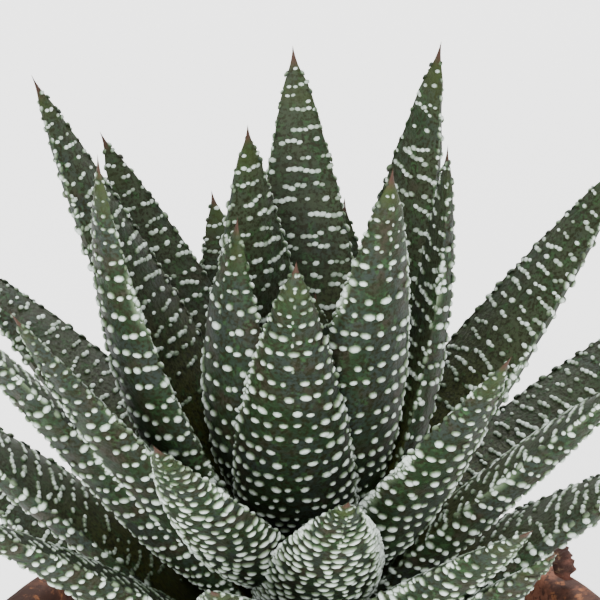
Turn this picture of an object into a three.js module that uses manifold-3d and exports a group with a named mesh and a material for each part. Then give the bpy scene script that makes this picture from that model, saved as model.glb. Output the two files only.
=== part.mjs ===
// Potted haworthia: a rosette of stiff, pointed leaves banded with raised white tubercles. The
// leaves sit in a spiral on a short stem, which stands in the soil of a small clay pot.
// Millimetres, +Z up, origin under the middle of the pot. Azimuth 0 is +X and 90 is +Y.

import * as THREE from 'three';
import { mergeVertices } from 'three/addons/utils/BufferGeometryUtils.js';
import Module from 'manifold-3d';

const wasm = await Module();
wasm.setup();

// Pot, a plain thrown flower pot with a collar.
const POT_HEIGHT = 73;
const RIM_RADIUS = 40;
const COLLAR_HEIGHT = 19;
const COLLAR_STEP = 2.6;
const FOOT_RADIUS = 26.5;
const RIM_FLARE = 0.8;
const WALL = 4;
const INNER_STEP = 0.6;
const FLOOR = 5;
const DRAIN_RADIUS = 6;
const EDGE_ROUND = 1.2;
const POT_SIDES = 36;

// Soil, a filling heaped a little towards the stem.
const SOIL_EDGE = 67;
const SOIL_HEAP = 4.5;
const SOIL_LUMP = 0.45;
const SOIL_WAVES = [[5, 9], [11, -23]];
const SOIL_RINGS = 6;
const SOIL_SIDES = 24;

// Stem and crown, which every leaf springs from.
const CROWN_BOTTOM = 74;
const CROWN_TOP = 95;
const CROWN_OUTER = 7;
const CROWN_INNER = 1.6;
const BASE_SINK = 0.5;
const NECK_RADIUS = 5;
const NECK_BOTTOM = 58;
const NECK_TOP = 70;
const STEM_SIDES = 16;

// Leaves.
const LEAF_WIDTH = 12.8;
const YOUNG_WIDTH_SHARE = 0.32;
const WIDEST_AT = 0.78;
const BASE_PINCH = 0.14;
const TIP_FULLNESS = 0.9;
const BACK_DEPTH = 0.62;
const BACK_DEPTH_AT_BASE = 0.3;
const FACE_CROWN = 0.16;
const FACE_DISH = 0.2;
const DISH_LENGTH = 0.35;
const TUBERCLE_HEIGHT = 0.5;
const TUBERCLE_FULL_AT = 3;
const LAST_ROW_AT = 0.97;
const ROW_SPREAD = 0.95;
const ROWS = 13;
const OUTLINE_ROWS = 7;
const BACK_COLUMNS = 5;
const FACE_COLUMNS = 4;
const SPINE_STEPS = 28;

// Clear gap between any two pieces that meet.
const GAP = 0.3;

// One row for each leaf, from the heart of the rosette outwards and down the stem:
// azimuth, lean above the horizontal, length, rise in lean from base to tip, turn in azimuth.
const LEAVES = [
  [-150, 86, 24, 10, 0],
  [75, 84, 26, 10, 0],
  [-15, 84, 31, 15, 0],
  [-139, 80, 42, 30, 0],
  [-58, 74, 53, 10, 0],
  [129, 81, 47, 15, 0],
  [-91, 67, 49, 10, 15],
  [94, 64, 54, 10, 15],
  [39, 74, 58, 5, 0],
  [129, 48, 51, 10, 10],
  [-152, 69, 59, 35, 0],
  [12, 76, 51, 20, 0],
  [-111, 44, 53, 5, 0],
  [-53, 53, 52, 5, 10],
  [151, 60, 61, 5, 10],
  [-141, 53, 57, 5, 0],
  [32, 46, 59, 5, -15],
  [-84, 43, 50, -5, 0],
  [106, 42, 47, 15, 0],
  [83, 42, 46, 15, 0],
  [-22, 47, 54, -10, 0],
  [147, 34, 56, -5, 15],
  [-156, 52, 63, -5, 0],
  [-101, 36, 53, 0, 0],
  [36, 27, 53, 10, -10],
  [97, 35, 49, 10, 0],
  [-62, 41, 56, -5, 0],
  [-10, 36, 47, -10, -5],
  [114, 33, 50, 10, 0],
  [-175, 41, 60, -10, 0],
  [80, 30, 51, 10, 0],
  [-135, 40, 62, -10, 0],
  [-54, 42, 50, 5, 0],
  [-82, 28, 50, 0, 0],
  [160, 27, 45, 5, 0],
  [66, 16, 50, 10, 0],
  [-113, 24, 51, 0, 0],
  [140, 14, 50, 10, 0],
  [-33, 19, 56, 0, 0],
  [-150, 22, 50, 0, 0],
];

// The withered leaf, which arches over the soil and ends on the rim.
const DRY_AZIMUTH = 36;
const DRY_START = [5.4, 72.6];
const DRY_MIDDLE = [37.2, 88];
const DRY_END = [37.4, 73.4];
const DRY_WIDTH = 8.4;
const DRY_THICKNESS = 2;
const DRY_CURL = 0.35;
const DRY_TAPER = 0.4;
const DRY_WAVE = 0.12;
const DRY_WAVE_TURNS = 14;
const DRY_LAST_ROW_AT = 0.94;
const DRY_ROWS = 12;
const DRY_SIDES = 10;

const radians = THREE.MathUtils.degToRad;
const smooth = THREE.MathUtils.smoothstep;
const mix = THREE.MathUtils.lerp;

// Turns rings of points, each with the same count, into a closed body. The first ring is
// closed by a fan about its middle, and the last by its middle moved to the tip.
function ringBody(rings, tip) {
  const around = rings[0].length;
  const points = rings.flat();
  const middle = new THREE.Vector3();
  rings[0].forEach((point) => middle.add(point));
  points.push(middle.divideScalar(around), tip);
  const start = points.length - 2;
  const end = points.length - 1;
  const faces = [];
  for (let j = 0; j < around; j += 1) {
    const next = (j + 1) % around;
    faces.push(start, next, j);
    for (let i = 0; i + 1 < rings.length; i += 1) {
      const low = i * around;
      const high = low + around;
      // The diagonal turns from cell to cell, so that raised points stand on their own.
      if ((i + j) % 2 === 0) {
        faces.push(low + j, low + next, high + j, low + next, high + next, high + j);
      } else {
        faces.push(low + j, low + next, high + next, low + j, high + next, high + j);
      }
    }
    const last = (rings.length - 1) * around;
    faces.push(last + j, last + next, end);
  }
  return { points, faces };
}

function toManifold({ points, faces }) {
  const vertProperties = new Float32Array(points.flatMap((point) => [point.x, point.y, point.z]));
  const triVerts = new Uint32Array(faces);
  return new wasm.Manifold(new wasm.Mesh({ numProp: 3, vertProperties, triVerts }));
}

function geometryToManifold(geometry) {
  const bare = geometry.clone();
  bare.deleteAttribute('normal');
  bare.deleteAttribute('uv');
  const merged = mergeVertices(bare, 1e-4);
  const vertProperties = new Float32Array(merged.attributes.position.array);
  const triVerts = new Uint32Array(merged.index.array);
  return new wasm.Manifold(new wasm.Mesh({ numProp: 3, vertProperties, triVerts }));
}

function toGeometry(solid) {
  const mesh = solid.getMesh();
  const geometry = new THREE.BufferGeometry();
  geometry.setAttribute('position', new THREE.BufferAttribute(mesh.vertProperties, mesh.numProp));
  geometry.setIndex(new THREE.BufferAttribute(mesh.triVerts, 1));
  return geometry;
}

function largestPiece(solid) {
  return solid.decompose().reduce((best, piece) => (piece.volume() > best.volume() ? piece : best));
}

// Share of the greatest half width, at a share of the length from the base (0) to the tip (1).
function widthShare(along) {
  const fromTip = 1 - along;
  if (fromTip > WIDEST_AT) {
    return 1 - BASE_PINCH * ((fromTip - WIDEST_AT) / (1 - WIDEST_AT)) ** 2;
  }
  return Math.sin((Math.PI / 2) * (fromTip / WIDEST_AT) ** TIP_FULLNESS);
}

// Points and directions along the middle of a leaf.
function leafSpine([azimuth, lean, length, rise, turn], level) {
  const baseRadius = mix(CROWN_INNER, CROWN_OUTER, level);
  const baseHeight = mix(CROWN_TOP, CROWN_BOTTOM, level);
  const heading = radians(azimuth - turn / 2);
  const point = new THREE.Vector3(
    baseRadius * Math.cos(heading), baseRadius * Math.sin(heading), baseHeight);
  const direction = (share) => {
    const up = radians(lean + rise * (share - 0.5));
    const round = radians(azimuth + turn * (share - 0.5));
    return new THREE.Vector3(
      Math.cos(up) * Math.cos(round), Math.cos(up) * Math.sin(round), Math.sin(up));
  };
  const side = new THREE.Vector3(-Math.sin(radians(azimuth)), Math.cos(radians(azimuth)), 0);
  const stations = [];
  for (let i = 0; i <= SPINE_STEPS; i += 1) {
    const share = i / SPINE_STEPS;
    const along = direction(share);
    const across = side.clone().addScaledVector(along, -side.dot(along)).normalize();
    const inward = new THREE.Vector3().crossVectors(across, along).negate();
    stations.push({ at: point.clone(), along, across, inward });
    point.addScaledVector(direction(share + 0.5 / SPINE_STEPS), length / SPINE_STEPS);
  }
  return stations;
}

// Where the spine is at a share of its length.
function stationAt(stations, share) {
  const place = share * SPINE_STEPS;
  const low = Math.min(Math.floor(place), SPINE_STEPS - 1);
  const part = place - low;
  const first = stations[low];
  const second = stations[low + 1];
  const blend = (key) => first[key].clone().lerp(second[key], part);
  return { at: blend('at'), across: blend('across'), inward: blend('inward') };
}

// A leaf with its tubercles raised on alternate points, or with spread above 0 its plain
// outline grown by that much, which its neighbours are cut clear of.
function leafBody(row, level, spread) {
  const stations = leafSpine(row, level);
  const halfWidth = Math.min(LEAF_WIDTH, YOUNG_WIDTH_SHARE * row[2]) / 2;
  const rows = spread > 0 ? OUTLINE_ROWS : ROWS;
  const rings = [];
  for (let i = 0; i < rows; i += 1) {
    const share = LAST_ROW_AT * (i / (rows - 1)) ** ROW_SPREAD;
    const { at, across, inward } = stationAt(stations, share);
    const half = halfWidth * widthShare(share);
    const filled = smooth(share, 0, DISH_LENGTH);
    const back = half * mix(BACK_DEPTH_AT_BASE, BACK_DEPTH, filled);
    const face = half * mix(-FACE_DISH, FACE_CROWN, filled);
    const ring = [];
    for (let j = 0; j <= BACK_COLUMNS; j += 1) {
      const angle = (Math.PI * j) / BACK_COLUMNS;
      const raised = spread > 0 || (i > 0 && (i + j) % 2 === 0);
      const height = spread > 0 ? spread : TUBERCLE_HEIGHT * Math.min(1, half / TUBERCLE_FULL_AT);
      const lift = raised ? height : 0;
      const x = -Math.cos(angle) * (half + lift);
      const y = -Math.sin(angle) * (back + lift);
      ring.push(at.clone().addScaledVector(across, x).addScaledVector(inward, y));
    }
    for (let j = 1; j < FACE_COLUMNS; j += 1) {
      const x = Math.cos((Math.PI * j) / FACE_COLUMNS);
      const y = face * (1 - x * x) + spread;
      ring.push(at.clone().addScaledVector(across, x * half).addScaledVector(inward, y));
    }
    rings.push(ring);
  }
  const end = stations[SPINE_STEPS];
  const tip = end.at.clone().addScaledVector(end.along, spread);
  return toManifold(ringBody(rings, tip));
}

function lathe(profile, sides) {
  const geometry = new THREE.LatheGeometry(
    profile.map(([radius, height]) => new THREE.Vector2(radius, height)), sides);
  return geometryToManifold(geometry.rotateX(Math.PI / 2));
}

// Stem, grown by spread all round. Each leaf starts BASE_SINK inside it and is cut clear.
function stemBody(spread) {
  return lathe([
    [0, NECK_BOTTOM - spread],
    [NECK_RADIUS + spread, NECK_BOTTOM - spread],
    [NECK_RADIUS + spread, NECK_TOP],
    [CROWN_OUTER + BASE_SINK + spread, CROWN_BOTTOM],
    [CROWN_INNER + BASE_SINK + spread, CROWN_TOP],
    [0, CROWN_TOP + CROWN_INNER + spread],
  ], STEM_SIDES);
}

function potBody() {
  const collarBottom = POT_HEIGHT - COLLAR_HEIGHT;
  const collarRadius = RIM_RADIUS - RIM_FLARE;
  const bodyRadius = collarRadius - COLLAR_STEP;
  return lathe([
    [DRAIN_RADIUS, 0],
    [FOOT_RADIUS - EDGE_ROUND, 0],
    [FOOT_RADIUS, EDGE_ROUND],
    [bodyRadius, collarBottom - 1],
    [collarRadius - EDGE_ROUND, collarBottom],
    [collarRadius, collarBottom + EDGE_ROUND],
    [RIM_RADIUS, POT_HEIGHT - EDGE_ROUND],
    [RIM_RADIUS - EDGE_ROUND, POT_HEIGHT],
    [RIM_RADIUS - WALL + EDGE_ROUND, POT_HEIGHT],
    [RIM_RADIUS - WALL, POT_HEIGHT - EDGE_ROUND],
    [collarRadius - WALL - INNER_STEP, collarBottom],
    [FOOT_RADIUS - WALL, FLOOR],
    [DRAIN_RADIUS, FLOOR],
    [DRAIN_RADIUS, 0],
  ], POT_SIDES);
}

// Inner radius of the pot at a height, along its two straight stretches.
function potInside(height) {
  const collarBottom = POT_HEIGHT - COLLAR_HEIGHT;
  const atCollar = RIM_RADIUS - RIM_FLARE - WALL - INNER_STEP;
  if (height < collarBottom) {
    return mix(FOOT_RADIUS - WALL, atCollar, (height - FLOOR) / (collarBottom - FLOOR));
  }
  const atRim = RIM_RADIUS - WALL;
  const collarShare = (height - collarBottom) / (COLLAR_HEIGHT - EDGE_ROUND);
  return mix(atCollar, atRim, collarShare);
}

function circle(radius, height) {
  const points = [];
  for (let i = 0; i < SOIL_SIDES; i += 1) {
    const angle = (2 * Math.PI * i) / SOIL_SIDES;
    points.push(new THREE.Vector3(
      radius * Math.cos(angle), radius * Math.sin(angle), height(angle)));
  }
  return points;
}

// Soil with a rough top: each ring's points rise and fall by a fixed mix of waves.
function soilBody() {
  const clear = GAP / Math.cos(Math.PI / POT_SIDES);
  const wall = (height) => circle(potInside(height) - 2 * clear, () => height);
  const rings = [wall(FLOOR + GAP), wall(POT_HEIGHT - COLLAR_HEIGHT), wall(SOIL_EDGE - 1)];
  for (let i = 0; i < SOIL_RINGS; i += 1) {
    const share = 1 - i / SOIL_RINGS;
    const radius = (potInside(SOIL_EDGE) - 2 * clear) * share;
    rings.push(circle(radius, (angle) => {
      const wave = SOIL_WAVES.reduce(
        (sum, [turns, shift]) => sum + Math.sin(turns * angle + shift * share), 0);
      const rough = share < 1 ? SOIL_LUMP * wave : 0;
      return SOIL_EDGE + SOIL_HEAP * (1 - share) + rough;
    }));
  }
  return toManifold(ringBody(rings, new THREE.Vector3(0, 0, SOIL_EDGE + SOIL_HEAP)));
}

// The withered leaf: a thin, curled blade along one smooth curve.
function dryLeafBody() {
  const turn = radians(DRY_AZIMUTH);
  const place = ([radius, height]) => new THREE.Vector3(
    radius * Math.cos(turn), radius * Math.sin(turn), height);
  const path = new THREE.QuadraticBezierCurve3(
    place(DRY_START), place(DRY_MIDDLE), place(DRY_END));
  const across = new THREE.Vector3(-Math.sin(turn), Math.cos(turn), 0);
  const rings = [];
  for (let i = 0; i < DRY_ROWS; i += 1) {
    const share = (DRY_LAST_ROW_AT * i) / (DRY_ROWS - 1);
    const at = path.getPoint(share);
    const up = new THREE.Vector3().crossVectors(path.getTangent(share), across).normalize();
    const wave = 1 + DRY_WAVE * Math.sin(DRY_WAVE_TURNS * share);
    const half = (DRY_WIDTH / 2) * (1 - share) ** DRY_TAPER * wave;
    const thick = DRY_THICKNESS * (1 - share / 2);
    const curl = DRY_CURL * half;
    const ring = [];
    for (let j = 0; j < DRY_SIDES; j += 1) {
      const angle = (2 * Math.PI * j) / DRY_SIDES;
      const x = Math.cos(angle);
      const y = Math.sin(angle) * (thick / 2) + curl * x * x - curl / 2;
      ring.push(at.clone().addScaledVector(across, x * half).addScaledVector(up, y));
    }
    rings.push(ring);
  }
  return toManifold(ringBody(rings, path.getPoint(1)));
}

const finishes = {
  leaf: new THREE.MeshStandardMaterial({ color: 0x43493f, roughness: 0.62, metalness: 0 }),
  stem: new THREE.MeshStandardMaterial({ color: 0x5a5238, roughness: 0.85, metalness: 0 }),
  dry: new THREE.MeshStandardMaterial({ color: 0x7c5240, roughness: 0.9, metalness: 0 }),
  soil: new THREE.MeshStandardMaterial({ color: 0x3a2c22, roughness: 0.97, metalness: 0 }),
  clay: new THREE.MeshStandardMaterial({ color: 0x8a5a48, roughness: 0.88, metalness: 0 }),
};

const plant = new THREE.Group();

function addPiece(name, solid, finish) {
  const mesh = new THREE.Mesh(toGeometry(solid), finish.clone());
  mesh.name = name;
  plant.add(mesh);
}

const pot = potBody();
addPiece('pot', pot, finishes.clay);
const stem = stemBody(0);
addPiece('stem', stem, finishes.stem);
addPiece('soil', soilBody().subtract(stemBody(GAP)), finishes.soil);

// Each leaf is cut clear of the stem and of every leaf that lies further in, as the leaves of
// a rosette are pressed to the shape of those inside them.
let taken = stemBody(GAP);
LEAVES.forEach((row, index) => {
  const level = index / (LEAVES.length - 1);
  const leaf = largestPiece(leafBody(row, level, 0).subtract(taken));
  addPiece(`leaf_${String(index + 1).padStart(2, '0')}`, leaf, finishes.leaf);
  taken = taken.add(leafBody(row, level, TUBERCLE_HEIGHT + GAP));
});
addPiece('dry_leaf', largestPiece(dryLeafBody().subtract(taken)), finishes.dry);

export default plant;
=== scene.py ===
import bpy
import bmesh
import math
import random
from collections import namedtuple
from mathutils import Matrix, Vector, noise


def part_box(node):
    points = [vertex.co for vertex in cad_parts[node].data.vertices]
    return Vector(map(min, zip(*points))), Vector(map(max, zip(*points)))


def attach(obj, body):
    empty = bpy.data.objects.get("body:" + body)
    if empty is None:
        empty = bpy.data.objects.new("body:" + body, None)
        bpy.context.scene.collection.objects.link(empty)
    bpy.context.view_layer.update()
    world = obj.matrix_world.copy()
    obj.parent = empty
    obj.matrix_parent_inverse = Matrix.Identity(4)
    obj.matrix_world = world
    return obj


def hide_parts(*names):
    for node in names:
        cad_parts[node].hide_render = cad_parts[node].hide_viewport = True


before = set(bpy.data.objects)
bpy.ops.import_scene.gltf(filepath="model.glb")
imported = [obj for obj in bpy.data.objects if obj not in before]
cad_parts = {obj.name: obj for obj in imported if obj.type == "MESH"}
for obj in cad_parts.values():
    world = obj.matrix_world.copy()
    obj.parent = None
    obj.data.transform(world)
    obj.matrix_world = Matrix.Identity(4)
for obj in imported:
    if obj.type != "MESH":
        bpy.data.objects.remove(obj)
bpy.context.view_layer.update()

# Camera, light and floor: a pale floor under soft studio light, seen as in the photograph,
# from 27 degrees above and so close that the crown fills the picture.
CAMERA_ELEVATION = math.radians(27)
CAMERA_DISTANCE = 0.42
CAMERA_TARGET = Vector((-0.0005, 0, 0.1215))
CAMERA_LENS = 237
CAMERA_SENSOR = 36
CAMERA_NEAR = 0.01
FLOOR_SIZE = 3.0
FLOOR_COLOUR = (0.95, 0.95, 0.945, 1)
SKY_COLOUR = (1.0, 1.0, 1.0, 1)
FLOOR_GLOW = 0.9
SKY_STRENGTH = 0.6
LAMP_TARGET = (0, 0, 0.08)
LAMPS = {
    "lamp_front": {"place": (-0.2, -1.0, 0.5), "size": 0.7, "power": 27},
    "lamp_side": {"place": (0.85, -0.35, 0.6), "size": 0.6, "power": 5},
    "lamp_back": {"place": (0.1, 0.9, 0.9), "size": 0.8, "power": 24},
}


def shade(tree, kind, inputs=None, **settings):
    """Adds a node with its settings, and gives its inputs values or links."""
    made = tree.nodes.new(kind)
    for key, value in settings.items():
        setattr(made, key, value)
    for name, value in (inputs or {}).items():
        if isinstance(value, bpy.types.NodeSocket):
            tree.links.new(value, made.inputs[name])
        else:
            made.inputs[name].default_value = value
    return made


def new_material(name):
    """An empty material and its node tree."""
    material = bpy.data.materials.new(name)
    material.use_nodes = True
    material.node_tree.nodes.clear()
    return material, material.node_tree


def finish_material(tree, inputs):
    """Ends a material in one Principled BSDF with these inputs."""
    surface = shade(tree, "ShaderNodeBsdfPrincipled", inputs)
    shade(tree, "ShaderNodeOutputMaterial", {"Surface": surface.outputs["BSDF"]})


def mesh_object(name, bm, material):
    """Turns a bmesh into a smooth object of one material, with its place in its mesh."""
    for face in bm.faces:
        face.smooth = True
    mesh = bpy.data.meshes.new(name)
    bm.to_mesh(mesh)
    bm.free()
    mesh.materials.append(material)
    made = bpy.data.objects.new(name, mesh)
    bpy.context.scene.collection.objects.link(made)
    return made


def aim(made, place, target):
    """Places an object and turns its own -Z axis to a target."""
    made.location = place
    made.rotation_euler = (Vector(target) - Vector(place)).to_track_quat("-Z", "Y").to_euler()


camera = bpy.data.objects.new("camera", bpy.data.cameras.new("camera"))
bpy.context.scene.collection.objects.link(camera)
camera.data.lens = CAMERA_LENS
camera.data.sensor_width = CAMERA_SENSOR
camera.data.clip_start = CAMERA_NEAR
backwards = Vector((0, -math.cos(CAMERA_ELEVATION), math.sin(CAMERA_ELEVATION)))
aim(camera, CAMERA_TARGET + backwards * CAMERA_DISTANCE, CAMERA_TARGET)
bpy.context.scene.camera = camera

for lamp_name, lamp in LAMPS.items():
    light = bpy.data.lights.new(lamp_name, "AREA")
    light.size = lamp["size"]
    light.energy = lamp["power"]
    lamp_object = bpy.data.objects.new(lamp_name, light)
    bpy.context.scene.collection.objects.link(lamp_object)
    aim(lamp_object, lamp["place"], LAMP_TARGET)

sky = bpy.data.worlds.new("sky")
sky.use_nodes = True
sky.node_tree.nodes["Background"].inputs["Color"].default_value = SKY_COLOUR
sky.node_tree.nodes["Background"].inputs["Strength"].default_value = SKY_STRENGTH
bpy.context.scene.world = sky

floor_material, tree = new_material("floor_paper")
finish_material(tree, {
    "Base Color": FLOOR_COLOUR, "Roughness": 0.9, "Emission Color": FLOOR_COLOUR,
    "Emission Strength": FLOOR_GLOW})
bm = bmesh.new()
bmesh.ops.create_grid(bm, x_segments=1, y_segments=1, size=FLOOR_SIZE)
floor = mesh_object("floor", bm, floor_material)

# Pot: a thrown flower pot of unglazed red-brown clay, with a collar at the rim and a drain hole
# in its foot. It is spun from its profile, and the years have chipped and stained it.
POT_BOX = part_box("pot")
POT_HEIGHT = POT_BOX[1].z
RIM_RADIUS = POT_BOX[1].x
RIM_FLARE = 0.0008
COLLAR_HEIGHT = 0.019
COLLAR_STEP = 0.0026
COLLAR_BOTTOM = POT_HEIGHT - COLLAR_HEIGHT
FOOT_RADIUS = 0.0265
WALL = 0.004
INNER_STEP = 0.0006
POT_FLOOR = 0.005
DRAIN_RADIUS = 0.006
EDGE_ROUND = 0.0012
POT_STEPS = 160
POT_LONGEST_EDGE = 0.0016
POT_WOBBLE = 0.00016
FOOT_FLAT = 0.001
CHIP_DEPTH_SHARE = 0.4
CHIPS = [(62, 0.0021), (118, 0.0013), (203, 0.0024), (251, 0.0012), (-38, 0.0017), (-71, 0.0011)]
CLAY_RED = (0.185, 0.075, 0.045, 1)
CLAY_ORANGE = (0.27, 0.105, 0.045, 1)
CLAY_DARK = (0.052, 0.024, 0.017, 1)
LIME_BLOOM = (0.45, 0.36, 0.30, 1)


def new_group(name, inputs, output, kind):
    """An empty node group with number inputs and one output, and its two end nodes."""
    group = bpy.data.node_groups.new(name, "ShaderNodeTree")
    for socket_name, value in inputs.items():
        socket = group.interface.new_socket(
            socket_name, in_out="INPUT", socket_type="NodeSocketFloat")
        socket.default_value = value
    group.interface.new_socket(output, in_out="OUTPUT", socket_type=kind)
    return group, group.nodes.new("NodeGroupInput"), group.nodes.new("NodeGroupOutput")


def make_mottle():
    """Soft patches of noise as a mask, which is 0 below Low and 1 above High."""
    group, given, result = new_group(
        "Mottle", {"Scale": 100, "Detail": 4, "Low": 0.45, "High": 0.6}, "Mask", "NodeSocketFloat")
    place = shade(group, "ShaderNodeTexCoord")
    cloud = shade(group, "ShaderNodeTexNoise", {
        "Vector": place.outputs["Object"], "Scale": given.outputs["Scale"],
        "Detail": given.outputs["Detail"], "Roughness": 0.62})
    mask = shade(group, "ShaderNodeMapRange", {
        "Value": cloud.outputs["Fac"], "From Min": given.outputs["Low"],
        "From Max": given.outputs["High"]}, interpolation_type="SMOOTHSTEP")
    group.links.new(mask.outputs["Result"], result.inputs["Mask"])
    return group


def make_grain():
    """Fine roughness of a surface, as a normal: Scale sets its size, and Depth its height."""
    group, given, result = new_group(
        "Grain", {"Scale": 1500, "Depth": 0.0001, "Detail": 5}, "Normal", "NodeSocketVector")
    place = shade(group, "ShaderNodeTexCoord")
    cloud = shade(group, "ShaderNodeTexNoise", {
        "Vector": place.outputs["Object"], "Scale": given.outputs["Scale"],
        "Detail": given.outputs["Detail"], "Roughness": 0.6})
    bump = shade(group, "ShaderNodeBump", {
        "Height": cloud.outputs["Fac"], "Distance": given.outputs["Depth"], "Strength": 1.0})
    group.links.new(bump.outputs["Normal"], result.inputs["Normal"])
    return group


MOTTLE = make_mottle()
GRAIN = make_grain()


def mottle(tree, scale, low, high, detail=4):
    """The mask of a Mottle group with these values."""
    made = shade(tree, "ShaderNodeGroup", {
        "Scale": scale, "Detail": detail, "Low": low, "High": high}, node_tree=MOTTLE)
    return made.outputs["Mask"]


def grain(tree, scale, depth):
    """The normal of a Grain group with these values."""
    made = shade(tree, "ShaderNodeGroup", {"Scale": scale, "Depth": depth}, node_tree=GRAIN)
    return made.outputs["Normal"]


def blend(tree, mask, first, second):
    """A colour between first, where the mask is 0, and second, where it is 1."""
    made = shade(tree, "ShaderNodeMix", data_type="RGBA")
    for place, value in ((0, mask), (6, first), (7, second)):
        if isinstance(value, bpy.types.NodeSocket):
            tree.links.new(value, made.inputs[place])
        else:
            made.inputs[place].default_value = value
    return made.outputs[2]


def times(tree, first, second):
    """The product of two masks."""
    made = shade(tree, "ShaderNodeMath", {0: first, 1: second}, operation="MULTIPLY")
    return made.outputs[0]


def rising(tree, value, low, high):
    """A mask that rises from 0 to 1 as a value goes from low to high."""
    made = shade(tree, "ShaderNodeMapRange", {
        "Value": value, "From Min": low, "From Max": high}, interpolation_type="SMOOTHSTEP")
    return made.outputs["Result"]


def height_above(tree):
    """The height of each point above the table."""
    place = shade(tree, "ShaderNodeTexCoord")
    split = shade(tree, "ShaderNodeSeparateXYZ", {"Vector": place.outputs["Object"]})
    return split.outputs["Z"]


def make_clay():
    """Unglazed clay, mottled orange and dark, damp near the rim and limy near the foot."""
    material, tree = new_material("weathered_clay")
    colour = blend(tree, mottle(tree, 55, 0.46, 0.66), CLAY_RED, CLAY_ORANGE)
    colour = blend(tree, mottle(tree, 160, 0.47, 0.62, 6), colour, CLAY_DARK)
    height = height_above(tree)
    damp = times(tree, rising(tree, height, COLLAR_BOTTOM, POT_HEIGHT), mottle(tree, 70, 0.4, 0.6))
    colour = blend(tree, damp, colour, CLAY_DARK)
    colour = blend(tree, mottle(tree, 700, 0.54, 0.66), colour, CLAY_ORANGE)
    colour = blend(tree, mottle(tree, 1500, 0.50, 0.62), colour, CLAY_DARK)
    limy = times(tree, rising(tree, height, 0.030, 0.004), mottle(tree, 160, 0.5, 0.68, 7))
    colour = blend(tree, limy, colour, LIME_BLOOM)
    finish_material(tree, {
        "Base Color": colour, "Roughness": 0.88, "Specular IOR Level": 0.3,
        "Normal": grain(tree, 1100, 0.00022)})
    return material


def spin_profile(bm, wire, steps):
    """Spins a wire in the XZ plane into a closed shell round the Z axis."""
    bmesh.ops.spin(bm, geom=wire, cent=(0, 0, 0), axis=(0, 0, 1), angle=math.tau,
                   steps=steps, use_merge=True)
    bmesh.ops.remove_doubles(bm, verts=bm.verts, dist=1e-6)
    bmesh.ops.recalc_face_normals(bm, faces=bm.faces)


def profile_wire(bm, points, closed):
    """A wire through points of (radius, height), and the vertices of its corners."""
    corners = [bm.verts.new((radius, 0, height)) for radius, height in points]
    following = corners[1:] + corners[:1] if closed else corners[1:]
    for pair in zip(corners, following):
        bm.edges.new(pair)
    return corners


def cut_long_edges(bm, longest):
    """Halves the edges of a wire until none is longer than longest."""
    long_edges = [edge for edge in bm.edges if edge.calc_length() > longest]
    while long_edges:
        bmesh.ops.subdivide_edges(bm, edges=long_edges, cuts=1)
        long_edges = [edge for edge in bm.edges if edge.calc_length() > longest]


def make_pot():
    """The pot, spun from its profile, then worn and chipped."""
    collar = RIM_RADIUS - RIM_FLARE
    bm = bmesh.new()
    corners = profile_wire(bm, [
        (DRAIN_RADIUS, 0), (FOOT_RADIUS, 0), (collar - COLLAR_STEP, COLLAR_BOTTOM),
        (collar, COLLAR_BOTTOM), (RIM_RADIUS, POT_HEIGHT), (RIM_RADIUS - WALL, POT_HEIGHT),
        (collar - WALL - INNER_STEP, COLLAR_BOTTOM), (FOOT_RADIUS - WALL, POT_FLOOR),
        (DRAIN_RADIUS, POT_FLOOR)], closed=True)
    bmesh.ops.bevel(bm, geom=corners, offset=EDGE_ROUND, affect="VERTICES", segments=4,
                    profile=0.5, material=-1)
    cut_long_edges(bm, POT_LONGEST_EDGE)
    spin_profile(bm, bm.verts[:] + bm.edges[:], POT_STEPS)
    for vertex in bm.verts:
        place = vertex.co.copy()
        outward = Vector((place.x, place.y, 0)).normalized()
        wobble = noise.fractal(place * 90, 0.6, 2.0, 4) + 0.4 * noise.noise(place * 700)
        if place.z > FOOT_FLAT:
            vertex.co += outward * (wobble * POT_WOBBLE)
        for turn, size in CHIPS:
            rim = Vector((math.cos(math.radians(turn)), math.sin(math.radians(turn)), 0))
            far = (place - rim * RIM_RADIUS - Vector((0, 0, POT_HEIGHT))).length / size
            if far < 1:
                bite = (1 - far * far) * size * CHIP_DEPTH_SHARE
                vertex.co -= (outward + Vector((0, 0, 1))).normalized() * bite
    return mesh_object("clay_pot", bm, make_clay())


clay_pot = make_pot()
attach(clay_pot, "root")
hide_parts("pot")

# Soil: dark, crumbly potting soil, heaped a little towards the stem. It is poured in and pressed
# down by hand, with peat fibres and pale grit in it.
SOIL_EDGE = 0.067
SOIL_HEAP = 0.0045
SOIL_STEPS = 120
SOIL_RINGS = 30
SOIL_CLEAR = 0.0006
CRUMBS = 620
CRUMB_SIZES = (0.0006, 0.0019)
ROUND_CRUMB_SIZE = 0.0011
CRUMB_ROUGHNESS = 0.55
GRIT = 70
GRIT_SIZES = (0.0005, 0.0012)
FIBRES = 60
FIBRE_LENGTHS = (0.002, 0.006)
FIBRE_WIDTHS = (0.00014, 0.0004)
FIBRE_BEND = 0.22
SOIL_BROWN = (0.034, 0.021, 0.013, 1)
SOIL_BLACK = (0.010, 0.007, 0.005, 1)
SOIL_DRY = (0.095, 0.060, 0.038, 1)
GRIT_PALE = (0.42, 0.37, 0.30, 1)
GRIT_GREY = (0.16, 0.14, 0.12, 1)
FIBRE_BROWN = (0.15, 0.083, 0.042, 1)
FIBRE_DARK = (0.050, 0.027, 0.015, 1)


def pot_inside(height):
    """Inner radius of the pot at a height."""
    at_collar = RIM_RADIUS - RIM_FLARE - WALL - INNER_STEP
    if height < COLLAR_BOTTOM:
        share = (height - POT_FLOOR) / (COLLAR_BOTTOM - POT_FLOOR)
        return FOOT_RADIUS - WALL + (at_collar - FOOT_RADIUS + WALL) * share
    share = (height - COLLAR_BOTTOM) / COLLAR_HEIGHT
    return at_collar + (RIM_RADIUS - WALL - at_collar) * share


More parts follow.
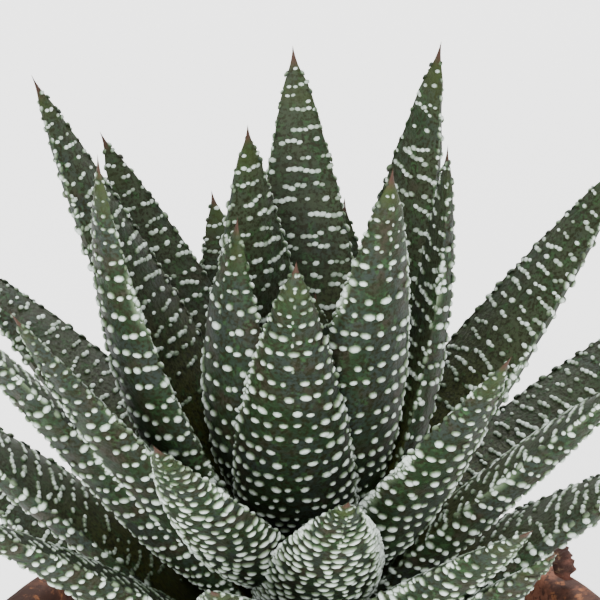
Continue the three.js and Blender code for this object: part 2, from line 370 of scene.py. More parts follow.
def soil_height(x, y):
    """Height of the soil's top, with lumps and hollows from a finger's width to a crumb's."""
    away = min(1.0, math.hypot(x, y) / pot_inside(SOIL_EDGE))
    place = Vector((x, y, 0))
    lumps = 0.0007 * noise.noise(place * 130) + 0.0006 * noise.fractal(place * 420, 0.8, 2.1, 5)
    return SOIL_EDGE + SOIL_HEAP * (1 - away) + lumps


def make_two_tone(name, first, second, scale, roughness, grain_scale, grain_depth):
    """A dull material of two mottled colours with a grain."""
    material, tree = new_material(name)
    colour = blend(tree, mottle(tree, scale, 0.42, 0.62, 6), first, second)
    finish_material(tree, {
        "Base Color": colour, "Roughness": roughness, "Specular IOR Level": 0.25,
        "Normal": grain(tree, grain_scale, grain_depth)})
    return material


def make_soil_material():
    """Moist soil: near black in its hollows, brown on its crumbs, paler where it has dried."""
    material, tree = new_material("potting_soil")
    colour = blend(tree, mottle(tree, 500, 0.4, 0.62, 8), SOIL_BLACK, SOIL_BROWN)
    colour = blend(tree, mottle(tree, 260, 0.56, 0.7, 6), colour, SOIL_DRY)
    finish_material(tree, {
        "Base Color": colour, "Roughness": 0.95, "Specular IOR Level": 0.2,
        "Normal": grain(tree, 1600, 0.0004)})
    return material


def scatter_place(dice, margin):
    """A random spot on the soil, clear of the stem and of the pot's wall by a margin."""
    reach = pot_inside(SOIL_EDGE) - margin
    away = math.sqrt(dice.uniform(0.06, 1.0)) * reach
    turn = dice.uniform(0, math.tau)
    x, y = away * math.cos(turn), away * math.sin(turn)
    return Vector((x, y, soil_height(x, y)))


def add_crumb(bm, dice, size, finer):
    """One uneven crumb, half sunk in the soil."""
    place = scatter_place(dice, 0.001 + size)
    shape = Matrix.Diagonal((
        dice.uniform(0.7, 1.3), dice.uniform(0.7, 1.2), dice.uniform(0.5, 0.9), 1))
    turn = Matrix.Rotation(dice.uniform(0, math.tau), 4, "Z")
    made = bmesh.ops.create_icosphere(
        bm, subdivisions=2 if finer else 1, radius=size,
        matrix=Matrix.Translation(place) @ turn @ shape)
    for vertex in made["verts"]:
        push = noise.noise(vertex.co * (1.1 / size) + place * 900)
        vertex.co += (vertex.co - place) * (CRUMB_ROUGHNESS * push)


def make_soil():
    """The soil bed with its crumbs, as one piece."""
    dice = random.Random(11)
    bm = bmesh.new()
    top = [(pot_inside(SOIL_EDGE) - SOIL_CLEAR) * (1 - i / SOIL_RINGS)
           for i in range(SOIL_RINGS + 1)]
    profile_wire(bm, [(0, POT_FLOOR + SOIL_CLEAR / 2),
                      (FOOT_RADIUS - WALL - SOIL_CLEAR, POT_FLOOR + SOIL_CLEAR / 2),
                      (pot_inside(COLLAR_BOTTOM) - SOIL_CLEAR, COLLAR_BOTTOM)]
                 + [(radius, SOIL_EDGE) for radius in top], closed=False)
    spin_profile(bm, bm.verts[:] + bm.edges[:], SOIL_STEPS)
    for vertex in bm.verts:
        if vertex.co.z > SOIL_EDGE - 0.0001:
            vertex.co.z = soil_height(vertex.co.x, vertex.co.y)
    for i in range(CRUMBS):
        share = dice.random() ** 2.5
        size = CRUMB_SIZES[0] + (CRUMB_SIZES[1] - CRUMB_SIZES[0]) * share
        add_crumb(bm, dice, size, finer=size > ROUND_CRUMB_SIZE)
    return mesh_object("soil_bed", bm, make_soil_material())


def make_grit():
    """Pale grit that has washed to the top of the soil."""
    dice = random.Random(23)
    bm = bmesh.new()
    for i in range(GRIT):
        add_crumb(bm, dice, dice.uniform(*GRIT_SIZES), finer=True)
    material = make_two_tone("grit", GRIT_PALE, GRIT_GREY, 300, 0.85, 2500, 0.00008)
    return mesh_object("soil_grit", bm, material)


def make_fibres():
    """Short peat and bark fibres that lie on the soil, each a bent, tapered stick."""
    dice = random.Random(37)
    bm = bmesh.new()
    for i in range(FIBRES):
        length = dice.uniform(*FIBRE_LENGTHS)
        width = dice.uniform(*FIBRE_WIDTHS)
        place = scatter_place(dice, 0.005) + Vector((0, 0, 0.0005))
        turn = Matrix.Rotation(dice.uniform(0, math.tau), 4, "Z")
        lay = Matrix.Rotation(math.radians(90) + dice.uniform(-0.2, 0.2), 4, "X")
        made = bmesh.ops.create_cone(
            bm, cap_ends=True, segments=6, radius1=width, radius2=width * 0.5, depth=length,
            matrix=Matrix.Translation(place) @ turn @ lay)
        between = {edge for vertex in made["verts"] for edge in vertex.link_edges
                   if edge.calc_length() > length * 0.5}
        cut = bmesh.ops.subdivide_edges(bm, edges=list(between), cuts=3)
        bend = Vector((dice.uniform(-1, 1), dice.uniform(-1, 1), 0)) * FIBRE_BEND
        for vertex in {item for item in cut["geom_inner"] if isinstance(item, bmesh.types.BMVert)}:
            middle = 1 - ((vertex.co - place).length / (length / 2)) ** 2
            vertex.co += bend * (length * middle)
    material = make_two_tone("peat_fibre", FIBRE_BROWN, FIBRE_DARK, 350, 0.9, 3000, 0.00008)
    return mesh_object("soil_fibres", bm, material)


soil_bed = make_soil()
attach(soil_bed, "root")
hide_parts("soil")
for extra in (make_grit(), make_fibres()):
    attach(extra, "root")

# Stem: the short, thick stem of the plant, which every leaf springs from. Old leaf scars ring
# it, and what shows between the lowest leaves and the soil is brown and fibrous.
CROWN_BOTTOM = 0.074
CROWN_TOP = 0.095
CROWN_OUTER = 0.007
CROWN_INNER = 0.0016
BASE_SINK = 0.0005
NECK_RADIUS = 0.005
NECK_BOTTOM = 0.058
NECK_TOP = 0.070
STEM_STEPS = 48
STEM_LONGEST_EDGE = 0.0006
SCAR_GAP = 0.0016
SCAR_DEPTH = 0.0002
STEM_BROWN = (0.085, 0.052, 0.028, 1)
STEM_OLIVE = (0.110, 0.105, 0.042, 1)


def make_stem():
    """The stem, spun from its profile and ringed with scars."""
    bm = bmesh.new()
    profile_wire(bm, [
        (0, NECK_BOTTOM), (NECK_RADIUS, NECK_BOTTOM), (NECK_RADIUS, NECK_TOP),
        (CROWN_OUTER + BASE_SINK, CROWN_BOTTOM), (CROWN_INNER + BASE_SINK, CROWN_TOP),
        (0, CROWN_TOP + CROWN_INNER)], closed=False)
    cut_long_edges(bm, STEM_LONGEST_EDGE)
    spin_profile(bm, bm.verts[:] + bm.edges[:], STEM_STEPS)
    for vertex in bm.verts:
        outward = Vector((vertex.co.x, vertex.co.y, 0))
        scar = math.sin(math.tau * vertex.co.z / SCAR_GAP + 0.8 * noise.noise(vertex.co * 260))
        fibre = noise.noise(Vector((vertex.co.x * 900, vertex.co.y * 900, vertex.co.z * 160)))
        if outward.length > 0.001:
            vertex.co += outward.normalized() * (SCAR_DEPTH * (scar + fibre - 1))
    material = make_two_tone("stem_skin", STEM_BROWN, STEM_OLIVE, 220, 0.85, 1800, 0.00015)
    return mesh_object("plant_stem", bm, material)


plant_stem = make_stem()
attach(plant_stem, "root")
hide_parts("stem")

# Leaves: forty stiff, thick, pointed leaves of dark green living tissue, in a spiral round the
# stem. Rows of raised white tubercles band them, and tubercles run together along their edges.

# Form of a leaf. Depths are shares of its half width, and places are shares of its length.
LEAF_WIDTH = 0.0128
YOUNG_WIDTH_SHARE = 0.32
WIDEST_AT = 0.78
BASE_PINCH = 0.14
TIP_FULLNESS = 0.9
TIP_SPINE_LENGTH = 0.0042
TIP_SPINE_THIN = 0.36
BACK_DEPTH = 0.62
BACK_DEPTH_AT_BASE = 0.3
FACE_CROWN = 0.16
FACE_DISH = 0.2
DISH_LENGTH = 0.35
MIDDLE_STEPS = 56
BACK_GIRTH = 0.58
KEEL_GIRTH = BACK_GIRTH / 2

# Mesh of a leaf's body, with its scalloped edges and its unevenness.
BODY_ROWS = 72
ROW_CROWDING = 0.95
BACK_COLUMNS = 18
FACE_COLUMNS = 12
RIDGE_GIRTH = 0.011
RIDGE_HEIGHT = 0.00022
EDGE_WAVE = 0.00022
BODY_UNEVEN = 0.00022

# Rows of tubercles on the back.
FIRST_ROWS_LEFT_OUT = 3
LAST_ROW_AT = 0.965
ROW_GAP = 0.0021
ROW_GAP_AT_BASE = 0.00155
ROW_OFFSET = 0.2
ROW_JITTER = 0.13
GROWN_FROM = 0.45
TIP_FROM = 0.72
TIP_STRETCH = 0.2
BACK_ARC = 1.28
TUBERCLE_PITCH = 0.00132
TUBERCLE_SIZE = (0.00052, 0.00042, 0.00034)
TUBERCLES_MISSING = 0.06

# Rows of bars on the face.
FIRST_BAR_AT = 0.16
BAR_ROW_GAP = 0.0017
BAR_REACH = 0.96
BAR_STEP = 0.0006
BAR_RUNS = (1, 1, 2, 2, 3, 4, 6)
BAR_SPACES = (0.0006, 0.0014)
BAR_SIZE = (0.00052, 0.00034, 0.00026)

# Teeth and crust along the edges, and teeth on the keel near the tip.
FIRST_TOOTH_AT = 0.04
TOOTH_PITCH = 0.0018
TOOTH_SIZE = (0.00034, 0.00058, 0.00040)
TOOTH_LEAN = 0.5
CRUST_GIRTH = 0.075
CRUST_CROWD = 5
CRUST_SHRINK = 0.72
KEEL_PITCH = 0.0017
KEEL_TOOTH_SHARE = 0.62

# One row for each leaf, from the heart outwards: azimuth, lean above the horizontal, length, rise
# in lean from base to tip, turn in azimuth.
LEAVES = [
    (-150, 86, 0.024, 10, 0), (75, 84, 0.026, 10, 0), (-15, 84, 0.031, 15, 0),
    (-139, 80, 0.042, 30, 0), (-58, 74, 0.053, 10, 0), (129, 81, 0.047, 15, 0),
    (-91, 67, 0.049, 10, 15), (94, 64, 0.054, 10, 15), (39, 74, 0.058, 5, 0),
    (129, 48, 0.051, 10, 10), (-152, 69, 0.059, 35, 0), (12, 76, 0.051, 20, 0),
    (-111, 44, 0.053, 5, 0), (-53, 53, 0.052, 5, 10), (151, 60, 0.061, 5, 10),
    (-141, 53, 0.057, 5, 0), (32, 46, 0.059, 5, -15), (-84, 43, 0.050, -5, 0),
    (106, 42, 0.047, 15, 0), (83, 42, 0.046, 15, 0), (-22, 47, 0.054, -10, 0),
    (147, 34, 0.056, -5, 15), (-156, 52, 0.063, -5, 0), (-101, 36, 0.053, 0, 0),
    (36, 27, 0.053, 10, -10), (97, 35, 0.049, 10, 0), (-62, 41, 0.056, -5, 0),
    (-10, 36, 0.047, -10, -5), (114, 33, 0.050, 10, 0), (-175, 41, 0.060, -10, 0),
    (80, 30, 0.051, 10, 0), (-135, 40, 0.062, -10, 0), (-54, 42, 0.050, 5, 0),
    (-82, 28, 0.050, 0, 0), (160, 27, 0.045, 5, 0), (66, 16, 0.050, 10, 0),
    (-113, 24, 0.051, 0, 0), (140, 14, 0.050, 10, 0), (-33, 19, 0.056, 0, 0),
    (-150, 22, 0.050, 0, 0),
]

# How white the crust on a leaf's left and right edges is, where it isn't the usual.
CRUSTED_EDGES = {5: (0.1, 0.8), 7: (0.2, 0.4), 13: (1.1, 0.2), 14: (0.3, 0.6), 18: (0.2, 1.3)}
USUAL_CRUST = (0.15, 0.15)

# Share of the usual gap between the rows of tubercles, on the backs of three front leaves.
CROWDED_ROWS = {7: 0.92, 13: 0.80, 18: 0.76}

# Colours of the skin and the tubercles.
SKIN_GREY = (0.023, 0.032, 0.026, 1)
SKIN_GREEN = (0.014, 0.030, 0.012, 1)
SKIN_BROWN = (0.029, 0.025, 0.016, 1)
SKIN_SHADOW = (0.014, 0.015, 0.006, 1)
SKIN_OLIVE = (0.070, 0.066, 0.014, 1)
SKIN_FLECK = (0.026, 0.060, 0.022, 1)
SKIN_FACE = (0.030, 0.040, 0.021, 1)
SKIN_SHADED = (0.038, 0.042, 0.008, 1)
SKIN_YOUNG = (0.028, 0.041, 0.011, 1)
SKIN_TIP = (0.050, 0.026, 0.018, 1)
TUBERCLE_WHITE = (0.58, 0.65, 0.60, 1)
TUBERCLE_GREEN = (0.095, 0.135, 0.075, 1)

# Numbers that a leaf's mesh holds for its skin: the share of the length from the base, how pale a
# tubercle is there, and 1 on the leaf's face.
SKIN_NUMBERS = ("along", "pale", "face")

Leaf = namedtuple("Leaf", "stations half_width length crusts row_share")
Station = namedtuple("Station", "at along across inward")


def eased(share):
    """A share from 0 to 1 that starts and ends gently."""
    share = min(1.0, max(0.0, share))
    return share * share * (3 - 2 * share)


def width_share(leaf, along):
    """Share of the greatest width, at a share of the length from the base to the tip, where the
    leaf ends in a thin dry spine."""
    from_tip = max(0.0, 1 - along)
    if from_tip > WIDEST_AT:
        return 1 - BASE_PINCH * ((from_tip - WIDEST_AT) / (1 - WIDEST_AT)) ** 2
    above_spine = eased(from_tip * leaf.length / TIP_SPINE_LENGTH)
    thinned = TIP_SPINE_THIN + (1 - TIP_SPINE_THIN) * above_spine
    return thinned * math.sin(math.pi / 2 * (from_tip / WIDEST_AT) ** TIP_FULLNESS)


def grow_leaf(row, level, crusts, row_share):
    """The middle line of a leaf, with its directions, from its base in the stem to its tip."""
    azimuth, lean, length, rise, turn = row
    radius = CROWN_INNER + (CROWN_OUTER - CROWN_INNER) * level
    heading = math.radians(azimuth - turn / 2)
    at = Vector((radius * math.cos(heading), radius * math.sin(heading),
                 CROWN_TOP + (CROWN_BOTTOM - CROWN_TOP) * level))
    side = Vector((-math.sin(math.radians(azimuth)), math.cos(math.radians(azimuth)), 0))

    def direction(share):
        up = math.radians(lean + rise * (share - 0.5))
        around = math.radians(azimuth + turn * (share - 0.5))
        return Vector((math.cos(up) * math.cos(around), math.cos(up) * math.sin(around),
                       math.sin(up)))

    stations = []
    for i in range(MIDDLE_STEPS + 1):
        along = direction(i / MIDDLE_STEPS)
        across = (side - along * side.dot(along)).normalized()
        stations.append(Station(at.copy(), along, across, along.cross(across)))
        at += direction((i + 0.5) / MIDDLE_STEPS) * (length / MIDDLE_STEPS)
    half_width = min(LEAF_WIDTH, YOUNG_WIDTH_SHARE * length) / 2
    return Leaf(stations, half_width, length, crusts, row_share)


def station_at(leaf, share):
    """The leaf's middle and directions at a share of its length."""
    place = min(1.0, max(0.0, share)) * MIDDLE_STEPS
    low = min(int(place), MIDDLE_STEPS - 1)
    first, second = leaf.stations[low], leaf.stations[low + 1]
    return Station(*(a.lerp(b, place - low) for a, b in zip(first, second)))


def leaf_surface(leaf, share, girth):
    """A point of the skin: girth runs from the left edge round the back to the right edge, and
    then over the face back to the left edge."""
    station = station_at(leaf, share)
    half = leaf.half_width * width_share(leaf, share)
    filled = eased(share / DISH_LENGTH)
    if girth < BACK_GIRTH:
        depth = BACK_DEPTH_AT_BASE + (BACK_DEPTH - BACK_DEPTH_AT_BASE) * filled
        angle = math.pi * girth / BACK_GIRTH
        x, y = -math.cos(angle), -math.sin(angle) * depth
    else:
        depth = -FACE_DISH + (FACE_CROWN + FACE_DISH) * filled
        x = math.cos(math.pi * (girth - BACK_GIRTH) / (1 - BACK_GIRTH))
        y = depth * (1 - x * x)
    return station.at + station.across * (x * half) + station.inward * (y * half)


def skin_frame(leaf, share, girth):
    """The place of a spot on the skin, as a matrix with X round the leaf and Z outwards."""
    step = 0.004
    at = leaf_surface(leaf, share, girth)
    along = leaf_surface(leaf, share + step, girth) - leaf_surface(leaf, share - step, girth)
    ahead, behind = (girth + step) % 1, (girth - step) % 1
    around = leaf_surface(leaf, share, ahead) - leaf_surface(leaf, share, behind)
    outward = around.cross(along).normalized()
    around = along.cross(outward).normalized()
    along = outward.cross(around)
    turned = Matrix((around, along, outward)).transposed().to_4x4()
    return Matrix.Translation(at) @ turned


def make_stamp(name, sides, rings):
    """A low dome of radius and height 1 with its skirt sunk in the skin, and with rings of these
    radii and heights."""
    bm = bmesh.new()
    bmesh.ops.create_circle(bm, segments=sides, radius=1.0)
    bmesh.ops.translate(bm, verts=bm.verts, vec=(0, 0, -0.25))
    rim = bm.edges[:]
    for radius, height in rings:
        grown = bmesh.ops.extrude_edge_only(bm, edges=rim)["geom"]
        ring = [item for item in grown if isinstance(item, bmesh.types.BMVert)]
        rim = [item for item in grown if isinstance(item, bmesh.types.BMEdge)
               and all(vertex in ring for vertex in item.verts)]
        for vertex in ring:
            outward = Vector((vertex.co.x, vertex.co.y, 0)).normalized()
            vertex.co = outward * radius + Vector((0, 0, height))
    cap = bmesh.ops.contextual_create(bm, geom=rim)["faces"]
    bmesh.ops.translate(bm, verts=bmesh.ops.poke(bm, faces=cap)["verts"], vec=(0, 0, 0.1))
    bmesh.ops.recalc_face_normals(bm, faces=bm.faces)
    stamp = bpy.data.meshes.new(name)
    bm.to_mesh(stamp)
    bm.free()
    return stamp


def tubercle(leaf, share, girth, turn, size, pale, lean=0):
    """One tubercle's place on the leaf, as a matrix, and how pale it is. It may be turned on the
    skin, and lean towards the leaf's tip."""
    shape = (Matrix.Rotation(turn, 4, "Z") @ Matrix.Rotation(-lean, 4, "X")
             @ Matrix.Diagonal((*size, 1)))
    return skin_frame(leaf, share, girth) @ shape, pale


def crust(leaf, girth, share):
    """How thick the white crust along an edge is, from 0 to 1: it comes and goes."""
    edge = leaf.crusts[0 if girth == 0 else 1]
    patch = noise.noise(leaf.stations[-1].at * 900 + Vector((share * 9, girth * 20, 0)))
    return eased(edge + 0.8 * patch) * eased(share / 0.1) * (1 - eased((share - 0.75) / 0.2))


def back_tubercles(leaf, dice):
    """Rows of tubercles across the back, each row set off from the last. Here and there two
    tubercles touch, or one is missing."""
    placed = []
    place = ROW_GAP_AT_BASE * FIRST_ROWS_LEFT_OUT
    offset = ROW_OFFSET
    while place < leaf.length * LAST_ROW_AT:
        share = place / leaf.length
        grown = eased(share / GROWN_FROM)
        near_tip = eased((share - TIP_FROM) / TIP_STRETCH)
        around = 2 * leaf.half_width * width_share(leaf, share) * BACK_ARC
        count = round(around / (TUBERCLE_PITCH * (0.8 + 0.2 * grown) * (1 - 0.25 * near_tip)))
        for k in range(count):
            if dice.random() < TUBERCLES_MISSING:
                continue
            within = (k + 0.5 + offset + dice.gauss(0, ROW_JITTER)) / count
            size = (0.64 + 0.36 * grown) * (1 - 0.4 * near_tip) * dice.uniform(0.74, 1.24)
            placed.append(tubercle(
                leaf, share + dice.uniform(-ROW_JITTER, ROW_JITTER) * ROW_GAP / leaf.length,
                (BACK_GIRTH * within) % 1, dice.uniform(-0.3, 0.3),
                (TUBERCLE_SIZE[0] * size * dice.uniform(0.85, 1.4) / leaf.row_share ** 0.5,
                 TUBERCLE_SIZE[1] * size * dice.uniform(0.9, 1.15) * leaf.row_share ** 0.5,
                 TUBERCLE_SIZE[2] * size),
                dice.uniform(0.6, 1.0) * (1 - 0.35 * near_tip)))
        offset = -offset
        gap = (ROW_GAP_AT_BASE + (ROW_GAP - ROW_GAP_AT_BASE) * grown) * (1 - 0.3 * near_tip)
        place += gap * leaf.row_share * dice.uniform(0.93, 1.09)
    return placed


def face_tubercles(leaf, dice):
    """Rows of thin, wavy bars across the face, each of a few tubercles that have run together.
    They are few and green low down, where the leaf is shaded."""
    placed = []
    place = leaf.length * FIRST_BAR_AT
    while place < leaf.length * LAST_ROW_AT:
        share = place / leaf.length
        outer = eased((share - 0.15) / 0.4)
        near_tip = eased((share - TIP_FROM) / TIP_STRETCH)
        half = leaf.half_width * width_share(leaf, share) * BAR_REACH
        x = dice.uniform(-1, 0) * BAR_SPACES[1] - half
        while x < half:
            drift = dice.uniform(-0.3, 0.3)
            shown = dice.random() < 0.35 + 0.65 * outer
            for k in range(dice.choice(BAR_RUNS)):
                if shown and abs(x) < half:
                    size = (0.75 + 0.25 * outer) * (1 - 0.2 * near_tip) * dice.uniform(0.75, 1.15)
                    girth = BACK_GIRTH + (1 - BACK_GIRTH) * math.acos(x / half) / math.pi
                    placed.append(tubercle(
                        leaf, share + (k * BAR_STEP * drift + dice.gauss(0, 0.0001)) / leaf.length,
                        girth, dice.uniform(-0.3, 0.3), [side * size for side in BAR_SIZE],
                        dice.uniform(0.5, 0.95) * (0.4 + 0.6 * outer)))
                x += BAR_STEP
            x += dice.uniform(*BAR_SPACES)
        place += BAR_ROW_GAP * dice.uniform(0.85, 1.15)
    return placed


def edge_teeth(leaf, dice):
    """The teeth along both edges and the tip's keel, crowded to a white crust in places."""
    placed = []
    for girth, inward in ((0.0, 1), (BACK_GIRTH, -1)):
        place = leaf.length * FIRST_TOOTH_AT
        while place < leaf.length * LAST_ROW_AT:
            share = place / leaf.length
            white = crust(leaf, girth, share)
            size = (1 - 0.35 * eased((share - 0.6) / 0.4)) * dice.uniform(0.75, 1.2)
            placed.append(tubercle(
                leaf, share, (girth + dice.uniform(-0.006, 0.006)) % 1, dice.uniform(-0.3, 0.3),
                [side * size for side in TOOTH_SIZE],
                dice.uniform(0.2, 0.75) * (1 - white) + dice.uniform(0.75, 1) * white,
                TOOTH_LEAN))
            for k in range(round(CRUST_CROWD * white)):
                placed.append(tubercle(
                    leaf, share + dice.uniform(-0.5, 0.5) * TOOTH_PITCH / leaf.length,
                    girth + inward * CRUST_GIRTH * white * dice.random() ** 1.5,
                    dice.uniform(-0.6, 0.6),
                    [side * CRUST_SHRINK * dice.uniform(0.75, 1.1) for side in TUBERCLE_SIZE],
                    dice.uniform(0.75, 1)))
            place += TOOTH_PITCH * (1 - 0.5 * white) * dice.uniform(0.85, 1.2)
    place = leaf.length * TIP_FROM
    while place < leaf.length * LAST_ROW_AT:
        placed.append(tubercle(
            leaf, place / leaf.length, KEEL_GIRTH + dice.uniform(-0.01, 0.01), 0,
            [side * KEEL_TOOTH_SHARE for side in TOOTH_SIZE], dice.uniform(0.3, 0.7)))
        place += KEEL_PITCH * dice.uniform(0.8, 1.2)
    return placed


def girth_columns():
    """Where the body's columns run: evenly round back and face, and close beside each edge."""
    back = [BACK_GIRTH * i / BACK_COLUMNS for i in range(BACK_COLUMNS + 1)]
    face = [BACK_GIRTH + (1 - BACK_GIRTH) * i / FACE_COLUMNS for i in range(FACE_COLUMNS + 1)]
    beside = [RIDGE_GIRTH, BACK_GIRTH - RIDGE_GIRTH, BACK_GIRTH + RIDGE_GIRTH, 1 - RIDGE_GIRTH]
    return sorted(set(back + face + beside))


def leaf_body(leaf):
    """The leaf's body, wrapped from a grid, as a mesh that holds what its skin needs."""
    columns = girth_columns()
    bm = bmesh.new()
    bmesh.ops.create_grid(bm, x_segments=BODY_ROWS, y_segments=len(columns) - 1, size=1.0)
    layers = {key: bm.verts.layers.float.new(key) for key in SKIN_NUMBERS}
    seed = leaf.stations[-1].at * 900
    for vertex in bm.verts:
        share = ((vertex.co.x + 1) / 2) ** ROW_CROWDING
        girth = columns[round((vertex.co.y + 1) / 2 * (len(columns) - 1))] % 1
        station = station_at(leaf, share)
        place = leaf_surface(leaf, share, girth)
        outward = place - station.at
        right = abs(girth - BACK_GIRTH)
        left = min(girth, 1 - girth)
        ridge = max(0.0, 1 - min(left, right) / (1.6 * RIDGE_GIRTH))
        white = crust(leaf, 0.0 if left < right else BACK_GIRTH, share)
        wave = noise.noise(seed + Vector((share * leaf.length * 650, girth, 0)))
        vertex[layers["along"]] = share
        vertex[layers["face"]] = 1 if girth > BACK_GIRTH else 0
        banked = white * max(0.0, 1 - min(left, right) / CRUST_GIRTH) * (0.8 + 0.5 * wave)
        pale = max(ridge * (0.15 + 0.85 * white) * (0.7 + 0.6 * wave), banked)
        vertex[layers["pale"]] = pale if girth <= BACK_GIRTH else 0.4 * pale
        if outward.length > 0.0004:
            uneven = noise.fractal(place * 260, 0.7, 2.0, 3) * BODY_UNEVEN
            slim = eased((1 - share) / 0.12)
            scallop = station.across * outward.dot(station.across) / leaf.half_width
            place += outward.normalized() * (slim * uneven)
            place += scallop * (ridge * slim * (RIDGE_HEIGHT + EDGE_WAVE * wave))
        vertex.co = place
    bmesh.ops.remove_doubles(bm, verts=bm.verts, dist=1e-6)
    bmesh.ops.edgeloop_fill(bm, edges=[edge for edge in bm.edges if edge.is_boundary])
    bmesh.ops.recalc_face_normals(bm, faces=bm.faces)
    body = bpy.data.meshes.new("leaf_body")
    bm.to_mesh(body)
    bm.free()
    return body


def press(bm, layers, stamp, tubercles):
    """Adds a stamped tubercle at each place, pale at its top and green at its skirt."""
    first = len(bm.verts)
    for place in tubercles:
        bm.from_mesh(stamp)
    bm.verts.ensure_lookup_table()
    per_stamp = len(stamp.vertices)
    for i, (place, pale) in enumerate(tubercles):
        start = first + i * per_stamp
        for vertex in bm.verts[start:start + per_stamp]:
            vertex[layers["pale"]] = pale * min(1.0, max(0.0, 0.1 + 0.9 * vertex.co.z))
            vertex[layers["along"]] = 0.5
            vertex.co = place @ vertex.co


def make_leaf(name, leaf, material):
    """One leaf: its tubercles, bars and teeth, each pressed from a stamp, and its body."""
    dice = random.Random(name)
    bm = bmesh.new()
    layers = {key: bm.verts.layers.float.new(key) for key in SKIN_NUMBERS}
    press(bm, layers, round_stamp, back_tubercles(leaf, dice) + edge_teeth(leaf, dice))
    press(bm, layers, bar_stamp, face_tubercles(leaf, dice))
    body = leaf_body(leaf)
    bm.from_mesh(body)
    bpy.data.meshes.remove(body)
    return mesh_object(name, bm, material)


def read_attribute(tree, name):
    """A number that the leaf's mesh holds for each vertex."""
    return shade(tree, "ShaderNodeAttribute", attribute_name=name).outputs["Fac"]


def make_leaf_skin():
    """Waxy dark skin, grey to green and purple, olive at the base, red-brown at the tip."""
    material, tree = new_material("leaf_skin")
    along = read_attribute(tree, "along")
    pale = read_attribute(tree, "pale")
    skin = blend(tree, mottle(tree, 150, 0.42, 0.6), SKIN_GREY, SKIN_GREEN)
    skin = blend(tree, mottle(tree, 330, 0.48, 0.66, 6), skin, SKIN_BROWN)
    face = read_attribute(tree, "face")
    skin = blend(tree, times(tree, face, mottle(tree, 200, 0.3, 0.6)), skin, SKIN_FACE)
    skin = blend(tree, times(tree, face, rising(tree, along, 0.65, 0.2)), skin, SKIN_SHADED)
    skin = blend(tree, mottle(tree, 900, 0.52, 0.68), skin, SKIN_FLECK)
    skin = blend(tree, mottle(tree, 2400, 0.46, 0.6), skin, SKIN_SHADOW)
    skin = blend(tree, rising(tree, along, 0.17, 0.02), skin, SKIN_OLIVE)
    young = times(tree, rising(tree, along, 0.83, 0.97), mottle(tree, 240, 0.35, 0.6))
    skin = blend(tree, young, skin, SKIN_YOUNG)
    skin = blend(tree, rising(tree, along, 0.945, 0.975), skin, SKIN_TIP)
    skin = blend(tree, rising(tree, pale, 0.04, 0.35), skin, TUBERCLE_GREEN)
    skin = blend(tree, rising(tree, pale, 0.25, 0.8), skin, TUBERCLE_WHITE)
    finish_material(tree, {
        "Base Color": skin, "Roughness": 0.5, "Specular IOR Level": 0.12,
        "Normal": grain(tree, 2200, 0.00016)})
    return material


leaf_skin = make_leaf_skin()
round_stamp = make_stamp("round_stamp", 7, ((0.84, 0.42), (0.46, 0.9)))
bar_stamp = make_stamp("bar_stamp", 6, ((0.70, 0.75),))
for index, leaf_row in enumerate(LEAVES):
    node_name = f"leaf_{index + 1:02d}"
    leaf_level = index / (len(LEAVES) - 1)
    grown_leaf = grow_leaf(
        leaf_row, leaf_level, CRUSTED_EDGES.get(index + 1, USUAL_CRUST),
        CROWDED_ROWS.get(index + 1, 1))
    green_leaf = make_leaf(f"green_{node_name}", grown_leaf, leaf_skin)
    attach(green_leaf, "root")
    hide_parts(node_name)
for stamp in (round_stamp, bar_stamp):
    bpy.data.meshes.remove(stamp)

# Withered leaf: an old leaf that has dried to thin, red-brown, wrinkled skin. Its base is still
# on the stem. It arches over the soil, and its end stands on the rim of the pot.
DRY_AZIMUTH = math.radians(36)
DRY_START = (0.0054, 0.0726)
DRY_MIDDLE = (0.0372, 0.088)
DRY_END = (0.0374, 0.0734)
DRY_WIDTH = 0.0084
DRY_THICKNESS = 0.002
DRY_CURL = 0.35
DRY_TAPER = 0.4
DRY_WAVE = 0.12
DRY_WAVE_TURNS = 14
DRY_FRAY = 0.35
DRY_ROWS = 90
DRY_COLUMNS = 48
DRY_WRINKLE = 0.00055
DRY_BROWN = (0.21, 0.084, 0.058, 1)
DRY_DARK = (0.045, 0.021, 0.016, 1)
DRY_STRAW = (0.33, 0.20, 0.11, 1)


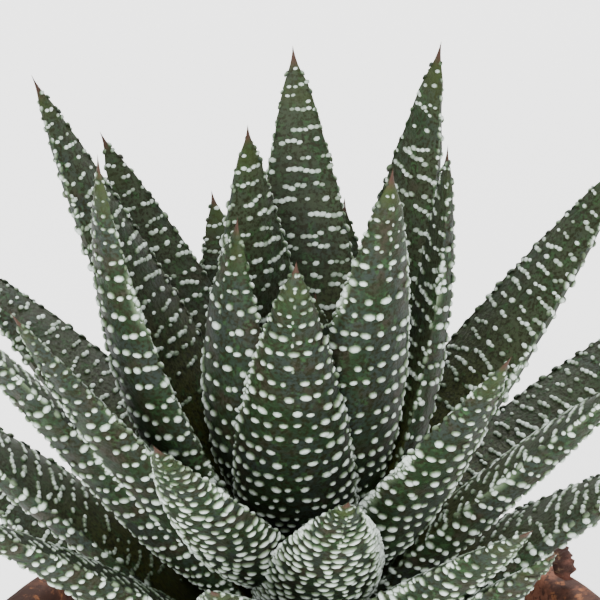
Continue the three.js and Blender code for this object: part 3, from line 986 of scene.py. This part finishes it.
def dry_path(share):
    """The middle line of the withered leaf and its direction, on one smooth curve."""
    heading = Vector((math.cos(DRY_AZIMUTH), math.sin(DRY_AZIMUTH), 0))
    start, middle, end = (heading * away + Vector((0, 0, height))
                          for away, height in (DRY_START, DRY_MIDDLE, DRY_END))
    first, second = start.lerp(middle, share), middle.lerp(end, share)
    return first.lerp(second, share), (second - first).normalized()


def make_dry_leaf():
    """The withered leaf, wrapped from a grid and wrinkled along its length."""
    across = Vector((-math.sin(DRY_AZIMUTH), math.cos(DRY_AZIMUTH), 0))
    bm = bmesh.new()
    bmesh.ops.create_grid(bm, x_segments=DRY_ROWS, y_segments=DRY_COLUMNS, size=1.0)
    for vertex in bm.verts:
        share = (vertex.co.x + 1) / 2
        angle = math.pi * (vertex.co.y + 1)
        at, along = dry_path(share)
        up = along.cross(across).normalized()
        half = DRY_WIDTH / 2 * (1 - share) ** DRY_TAPER * (
            1 + DRY_WAVE * math.sin(DRY_WAVE_TURNS * share))
        half *= 1 + DRY_FRAY * share * noise.noise(Vector((share * 30, math.cos(angle), 0)))
        thick = DRY_THICKNESS * (1 - share / 2) * min(1, 12 * (1 - share))
        curl = DRY_CURL * half
        x, y = math.cos(angle), math.sin(angle)
        wrinkle = noise.noise(Vector((x * half * 1400, y, share * 6))) * DRY_WRINKLE
        crumple = noise.fractal(at * 300 + across * (x * half * 300), 0.8, 2, 3)
        height = y * (thick / 2 + wrinkle * (1 - share)) + curl * (x * x - 0.5)
        height += crumple * DRY_WRINKLE * (1 + share)
        vertex.co = at + across * (x * half) + up * height
    bmesh.ops.remove_doubles(bm, verts=bm.verts, dist=1e-6)
    bmesh.ops.edgeloop_fill(bm, edges=[edge for edge in bm.edges if edge.is_boundary])
    bmesh.ops.recalc_face_normals(bm, faces=bm.faces)
    material, tree = new_material("withered_skin")
    colour = blend(tree, mottle(tree, 180, 0.42, 0.62, 6), DRY_BROWN, DRY_DARK)
    colour = blend(tree, mottle(tree, 600, 0.55, 0.7, 6), colour, DRY_STRAW)
    finish_material(tree, {
        "Base Color": colour, "Roughness": 0.8, "Specular IOR Level": 0.3,
        "Normal": grain(tree, 1700, 0.00022)})
    return mesh_object("withered_leaf", bm, material)


withered_leaf = make_dry_leaf()
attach(withered_leaf, "root")
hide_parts("dry_leaf")
